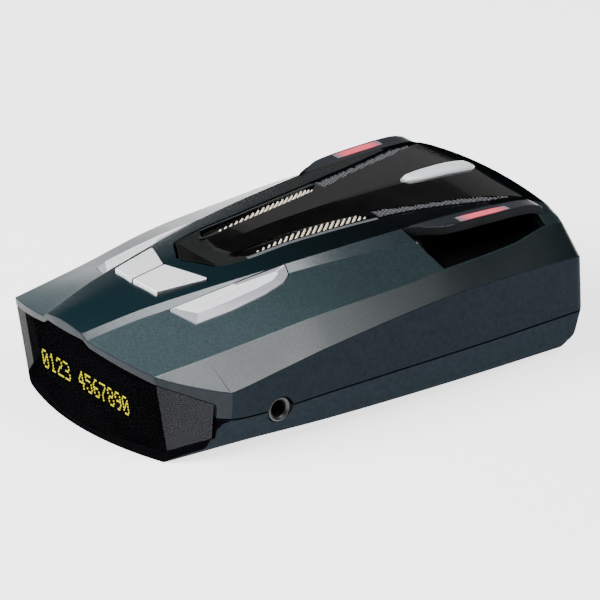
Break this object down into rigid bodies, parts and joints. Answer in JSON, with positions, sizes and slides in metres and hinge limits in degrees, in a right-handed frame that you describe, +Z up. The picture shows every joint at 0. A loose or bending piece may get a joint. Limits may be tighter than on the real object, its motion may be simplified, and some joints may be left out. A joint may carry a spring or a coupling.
{
  "type": "radar detector",
  "caption": "Dashboard radar detector: two-part metallic shell, wrapped smoked display window, silver press keys, gloss insert and side scoops.",
  "frame": {"origin": "middle of the base, at the centre of the overall length and width", "axes": "+Z up, +Y towards the road end, +X towards the side that has the power inlet"},
  "size_m": [0.067, 0.1086, 0.0341],
  "materials": {
    "shell": "teal-black metallic paint with fine flake, satin gloss",
    "window": "smoked, polished",
    "black_plastic": "moulded, fine texture",
    "display_glow": "dark panel with yellow dots",
    "board": "green solder mask",
    "gloss_black": "polished black",
    "mesh": "etched grey mesh",
    "silver": "satin silver paint",
    "clear_lens": "clear polished",
    "lamp": "frosted rose, translucent",
    "brass": "plated",
    "filter": "dark red filter",
    "chip": "moulded epoxy",
    "zinc": "die-cast",
    "tinplate": "tinned",
    "cone": "pressed paper",
    "magnet": "ferrite and steel",
    "sleeve": "shrink sleeve",
    "steel": "blackened",
    "label": "blank film",
    "stem": "moulded"
  },
  "bodies": {
    "case": {"upper_case": "shell", "lower_case": "shell", "display_window": "window", "display_bezel": "black_plastic", "power_jack": "black_plastic", "bracket_socket": "black_plastic", "switch_bodies": "black_plastic", "board_link": "black_plastic", "speaker_frame": "black_plastic", "display_panel": "display_glow", "display_board": "board", "control_board": "board", "main_board": "board", "top_insert": "gloss_black", "slot_grille_left": "gloss_black", "slot_grille_right": "gloss_black", "side_scoop_left": "gloss_black", "side_scoop_right": "gloss_black", "mesh_grille_left": "mesh", "mesh_grille_right": "mesh", "laser_eye_cap": "silver", "laser_eye_lens": "clear_lens", "alert_lamp_left": "lamp", "alert_lamp_right": "lamp", "jack_contacts": "brass", "road_window": "filter", "laser_sensor": "chip", "ic_chips": "chip", "horn_antenna": "zinc", "rf_shield": "tinplate", "speaker_cone": "cone", "speaker_magnet": "magnet", "capacitors": "sleeve", "case_screws": "steel", "rating_label": "label"},
    "dim_button": {"dim_key": "silver", "dim_stem": "stem"},
    "mute_button": {"mute_key": "silver", "mute_stem": "stem"},
    "imute_button": {"imute_key": "silver", "imute_stem": "stem"},
    "city_button": {"city_key": "silver", "city_stem": "stem"}
  },
  "joints": [
    {"name": "dim_press", "type": "slide", "parent": "case", "child": "dim_button", "axis": [0, 0, -1], "range_m": [0, 0.00055], "stiffness_N_per_m": 800},
    {"name": "mute_press", "type": "slide", "parent": "case", "child": "mute_button", "axis": [0, 0, -1], "range_m": [0, 0.00055], "stiffness_N_per_m": 800},
    {"name": "imute_press", "type": "slide", "parent": "case", "child": "imute_button", "axis": [0, 0, -1], "range_m": [0, 0.00055], "stiffness_N_per_m": 800},
    {"name": "city_press", "type": "slide", "parent": "case", "child": "city_button", "axis": [0, 0, -1], "range_m": [0, 0.00055], "stiffness_N_per_m": 800}
  ]
}
